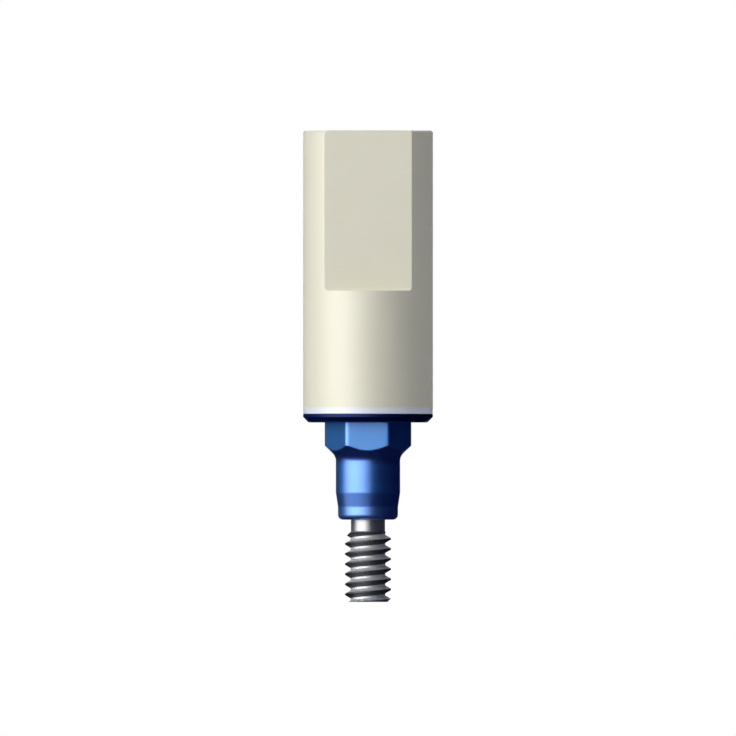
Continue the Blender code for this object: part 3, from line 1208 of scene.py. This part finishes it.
@dataclass
class RetentionScrew:
    """The retention screw: a head with a hexagonal drive, a seat cone, a slim neck and a fine thread."""

    head_radius: float = 1.10
    head_top: float = 2.32
    head_chamfer: float = 0.10
    cone_top: float = 0.82
    neck_radius: float = 0.59
    neck_fillet: float = 0.15
    drive_distance: float = 0.64
    drive_floor: float = 1.22
    drive_blend: float = 0.01
    drive_rings: int = 14
    drill_radius: float = 0.56
    drill_tip: float = 0.8835
    countersink_radius: float = 0.80
    thread_top: float = -3.77
    thread_start: float = -3.78
    thread_end: float = -6.22
    thread_radius: float = 0.80
    root_radius: float = 0.60
    pitch: float = 0.35
    crest_height: float = -4.0325
    crest_share: float = 1 / 8
    flank_angle: float = math.radians(60)
    end_chamfer: float = 0.12
    end_face_ring: float = 0.55
    blend: float = 0.02
    rings_a_pitch: int = 26
    edge: float = 0.015
    steps: int = 192
    finish: BareTitanium = field(default_factory=BareTitanium)

    def _rings(self, span: float) -> int:
        """How many rings a length of thread needs."""
        return math.ceil(span / self.pitch * self.rings_a_pitch)

    def _head(self) -> list[Corner]:
        """The drive's hollow, from the drill's tip up, and the head round it.

        Returns:
            Its corners.
        """
        hexagon = (self.drive_distance,)
        sink = self.countersink_radius - self.drill_radius
        cone_run = self.head_radius - self.neck_radius
        return [
            Corner(0.0, self.drill_tip),
            Corner(self.drill_radius, self.drive_floor),
            Corner(self.drill_radius, self.drive_floor, flats=hexagon),
            Corner(self.drill_radius, self.head_top - sink, flats=hexagon, steps=self.drive_rings),
            Corner(self.countersink_radius, self.head_top, self.edge, hexagon),
            Corner(self.head_radius - self.head_chamfer, self.head_top, self.edge),
            Corner(self.head_radius, self.head_top - self.head_chamfer, self.edge),
            Corner(self.head_radius, self.cone_top, self.edge),
            Corner(self.neck_radius, self.cone_top - cone_run, self.neck_fillet),
        ]

    def _shank(self) -> list[Corner]:
        """The blank of the thread, from the neck's end to the pole of the end face.

        Returns:
            Its corners.
        """
        rise = self.thread_radius - self.neck_radius
        cylinder_top = self.thread_top - rise
        chamfer_top = self.thread_end + self.end_chamfer
        return [
            Corner(self.neck_radius, self.thread_top, steps=self._rings(rise)),
            Corner(self.thread_radius, cylinder_top, steps=self._rings(cylinder_top - chamfer_top)),
            Corner(self.thread_radius, chamfer_top, steps=self._rings(self.end_chamfer)),
            Corner(self.thread_radius - self.end_chamfer, self.thread_end),
            Corner(self.end_face_ring, self.thread_end),
            Corner(0.0, self.thread_end),
        ]

    def build(self) -> bpy.types.Object:
        """Makes the screw and dresses it.

        Returns:
            The finished object.
        """
        corner_reach = self.drive_distance / math.cos(math.pi / 6)
        drive = Flats("drive", 6, self.drive_distance, corner_reach, Cut.HOLLOW, self.drive_blend, clear=0.0)
        corners = [*self._head(), *self._shank()]
        piece = turned("retention_screw_surface", corners, (drive,), self.steps, closed=False)
        finish = self.finish.material()
        cut_flats(piece, (drive,), finish)
        sizes = {
            "Top": self.thread_start * MM,
            "Crest Height": self.crest_height * MM,
            "Pitch": self.pitch * MM,
            "Crest Radius": self.thread_radius * MM,
            "Root Radius": self.root_radius * MM,
            "Crest Width": self.pitch * self.crest_share * MM,
            "Flank Slope": 1 / math.tan(self.flank_angle / 2),
            "Blend": self.blend * MM,
            "Finish": finish,
        }
        ThreadTree().shape(piece, sizes)
        finish_mesh(piece.data, (drive,))
        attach(piece, Body.RETENTION_SCREW.value)
        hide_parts("retention_screw")
        return piece


@dataclass(frozen=True)
class Softbox:
    """A rectangular lamp that faces the object.

    Attributes:
        name: Its name.
        azimuth: Its azimuth in degrees, from the front, -Y, towards +X.
        elevation: Its height above the horizon in degrees.
        distance: Its distance from the object.
        size: Its width and height.
        level: The brightness of a white surface that faces it, where 1 is white.
        glossy: Whether reflections show it.
    """

    name: str
    azimuth: float
    elevation: float
    distance: float
    size: Span
    level: float
    glossy: bool = True


@dataclass(frozen=True)
class Card:
    """A curved card that stands round the object and shows in reflections alone.

    Attributes:
        name: Its name.
        azimuths: Where it starts and ends, in degrees, from the front, -Y, towards +X.
        heights: Its lower and upper edge.
        shade: Its colour.
        reach: Its distance from the axis.
    """

    name: str
    azimuths: Span
    heights: Span
    shade: Colour
    reach: float = 0.2


@dataclass
class Studio:
    """A pale floor, a white surround, soft lamps, cards that only reflections see, and the camera.

    Attributes:
        ambient: How brightly the surround lights the object, where reflections see it white.
        floor_lift: How much paler the camera sees the floor than its light makes it.
        centre: What the lamps face.
    """

    floor_height: float = -6.25 * MM
    floor_reach: float = 1.0
    floor_steps: int = 64
    floor_shade: Colour = (0.82, 0.82, 0.82)
    floor_lift: float = 0.3
    white: Colour = (1.0, 1.0, 1.0)
    centre: tuple[float, float, float] = (0.0, 0.0, 1.95 * MM)
    ambient: float = 0.225
    ambient_tint: Colour = (0.91, 0.96, 1.22)
    picture_width: float = 25.51 * MM
    picture_centre: float = 1.889 * MM
    camera_distance: float = 50 * MM
    camera_clip: Span = (0.5 * MM, 5.0)
    softboxes: tuple[Softbox, ...] = (
        Softbox("key_softbox", -50, 13, 0.25, (0.19, 0.18), 0.765, glossy=False),
        Softbox("top_softbox", -55, 64, 0.3, (0.2, 0.2), 0.25),
        Softbox("back_fill", 140, 22, 0.35, (0.25, 0.25), 0.18, glossy=False),
    )
    cards: tuple[Card, ...] = (
        Card("dark_card_right", (6, 166), (-0.25, 0.6), (0.003, 0.004, 0.03)),
        Card("key_card", (-83, -13), (-0.035, 0.2), (2.55, 2.55, 2.55), 0.3),
        Card("key_card_middle", (-70, -32), (-0.034, 0.2), (3.1, 3.1, 3.1), 0.29),
        Card("dim_card_left", (-168, -98), (-0.25, 0.3), (0.03, 0.06, 0.09)),
    )
    card_columns: int = 17
    under_height: float = -0.05
    under_reach: float = 0.2
    under_steps: int = 48
    under_shade: Colour = (0.003, 0.004, 0.03)

    def _surround(self) -> None:
        """Makes a world that is white to the camera and to reflections, and dimmer and cooler as a light."""
        world = bpy.data.worlds.new("white_surround")
        world.cycles.sampling_method = "NONE"
        tree = Recipe(emptied(world))
        ray = tree.node("ShaderNodeLightPath")
        seen = tree.maths("MAXIMUM", ray.outputs["Is Camera Ray"], ray.outputs["Is Glossy Ray"])
        seen = tree.maths("MAXIMUM", seen, ray.outputs["Is Transmission Ray"])
        colour = tree.mix(seen, self.ambient_tint, self.white)
        values = {"Color": colour, "Strength": seen.onto(self.ambient, 1.0)}
        light = tree.node("ShaderNodeBackground", values=values)
        tree.node("ShaderNodeOutputWorld", values={"Surface": light.outputs[0]})
        bpy.context.scene.world = world

    @staticmethod
    def _disc(name: str, height: float, reach: float, steps: int) -> bpy.types.Object:
        """Lays a level disc of the stage that faces up.

        Args:
            name: Its name.
            height: Its height.
            reach: Its radius.
            steps: How many steps its edge has.

        Returns:
            The disc.
        """
        bm = bmesh.new()
        place = Matrix.Translation((0, 0, height))
        bmesh.ops.create_circle(bm, cap_ends=True, segments=steps, radius=reach, matrix=place)
        bmesh.ops.recalc_face_normals(bm, faces=bm.faces)
        for face in bm.faces:
            if face.normal.z < 0:
                face.normal_flip()
        disc = placed_mesh(name, bm)
        return disc

    def _floor(self) -> None:
        """Lays a pale floor that keeps the shadow, and that a camera below it sees through."""
        floor = self._disc("pale_floor", self.floor_height, self.floor_reach, self.floor_steps)
        floor.visible_glossy = False
        material = bpy.data.materials.new("pale_floor")
        tree = Recipe(emptied(material))
        lift = Field(tree, tree.node("ShaderNodeLightPath").outputs["Is Camera Ray"]) * self.floor_lift
        lit = tree.node("ShaderNodeBsdfDiffuse", values={"Color": self.floor_shade})
        glow = tree.node("ShaderNodeEmission", values={"Color": self.white, "Strength": lift})
        front = tree.node("ShaderNodeAddShader", values={0: lit.outputs[0], 1: glow.outputs[0]})
        back = tree.node("ShaderNodeBsdfTransparent")
        behind = tree.node("ShaderNodeNewGeometry").outputs["Backfacing"]
        side = tree.node("ShaderNodeMixShader", values={0: behind, 1: front.outputs[0], 2: back.outputs[0]})
        tree.node("ShaderNodeOutputMaterial", values={"Surface": side.outputs[0]})
        floor.data.materials.append(material)

    def _stand(self, card: Card) -> None:
        """Stands a curved card round the object.

        Args:
            card: The card.
        """
        bm = bmesh.new()
        columns = []
        for angle in np.radians(np.linspace(*card.azimuths, self.card_columns)):
            x, y = card.reach * math.sin(angle), -card.reach * math.cos(angle)
            columns.append([bm.verts.new((x, y, height)) for height in card.heights])
        for left, right in zip(columns, columns[1:]):
            bm.faces.new((left[0], right[0], right[1], left[1]))
        standing = placed_mesh(card.name, bm)
        self._leave_to_reflections(standing, card.shade)

    @staticmethod
    def _leave_to_reflections(card: bpy.types.Object, shade: Colour) -> None:
        """Gives a card an even shade that shows in reflections alone.

        Args:
            card: The card.
            shade: Its colour.
        """
        card.visible_camera = False
        card.visible_diffuse = False
        card.visible_transmission = False
        card.visible_volume_scatter = False
        card.visible_shadow = False
        material = bpy.data.materials.new(card.name)
        tree = Recipe(emptied(material))
        even = tree.node("ShaderNodeEmission", values={"Color": shade, "Strength": 1.0})
        tree.node("ShaderNodeOutputMaterial", values={"Surface": even.outputs[0]})
        card.data.materials.append(material)

    def _hang(self, softbox: Softbox) -> None:
        """Hangs a softbox so that it faces the object.

        Args:
            softbox: The softbox.
        """
        data = bpy.data.lights.new(softbox.name, "AREA")
        data.shape = "RECTANGLE"
        data.size, data.size_y = softbox.size
        data.energy = softbox.level * (math.pi * softbox.distance) ** 2
        lamp = placed(softbox.name, data)
        a, e = math.radians(softbox.azimuth), math.radians(softbox.elevation)
        towards = Vector((math.sin(a) * math.cos(e), -math.cos(a) * math.cos(e), math.sin(e)))
        lamp.location = Vector(self.centre) + towards * softbox.distance
        lamp.rotation_euler = towards.to_track_quat("Z", "Y").to_euler()
        lamp.visible_camera = False
        lamp.visible_glossy = softbox.glossy

    def _camera(self) -> None:
        """Sets a level camera that looks along +Y and sees no perspective, as a long lens does."""
        data = bpy.data.cameras.new("photo_camera")
        data.type = "ORTHO"
        data.ortho_scale = self.picture_width
        data.clip_start, data.clip_end = self.camera_clip
        camera = placed("photo_camera", data)
        camera.location = (0.0, -self.camera_distance, self.picture_centre)
        camera.rotation_euler = (math.radians(90), 0.0, 0.0)
        bpy.context.scene.camera = camera

    def build(self) -> None:
        """Sets the stage, the lamps and the camera."""
        self._surround()
        self._floor()
        for card in self.cards:
            self._stand(card)
        under = self._disc("dark_card_below", self.under_height, self.under_reach, self.under_steps)
        self._leave_to_reflections(under, self.under_shade)
        for softbox in self.softboxes:
            self._hang(softbox)
        self._camera()
        bpy.context.scene.view_settings.view_transform = "Standard"


def main() -> None:
    """Builds the studio and the three pieces, and reports each piece."""
    logging.basicConfig(level=logging.INFO, format="%(name)s: %(message)s")
    Studio().build()
    for part in (ConnectionBase(), ScanFlag(), RetentionScrew()):
        piece = part.build()
        piece.data.calc_loop_triangles()
        LOG.info("%s: %d triangles", piece.name, len(piece.data.loop_triangles))


if __name__ == "__main__":
    main()
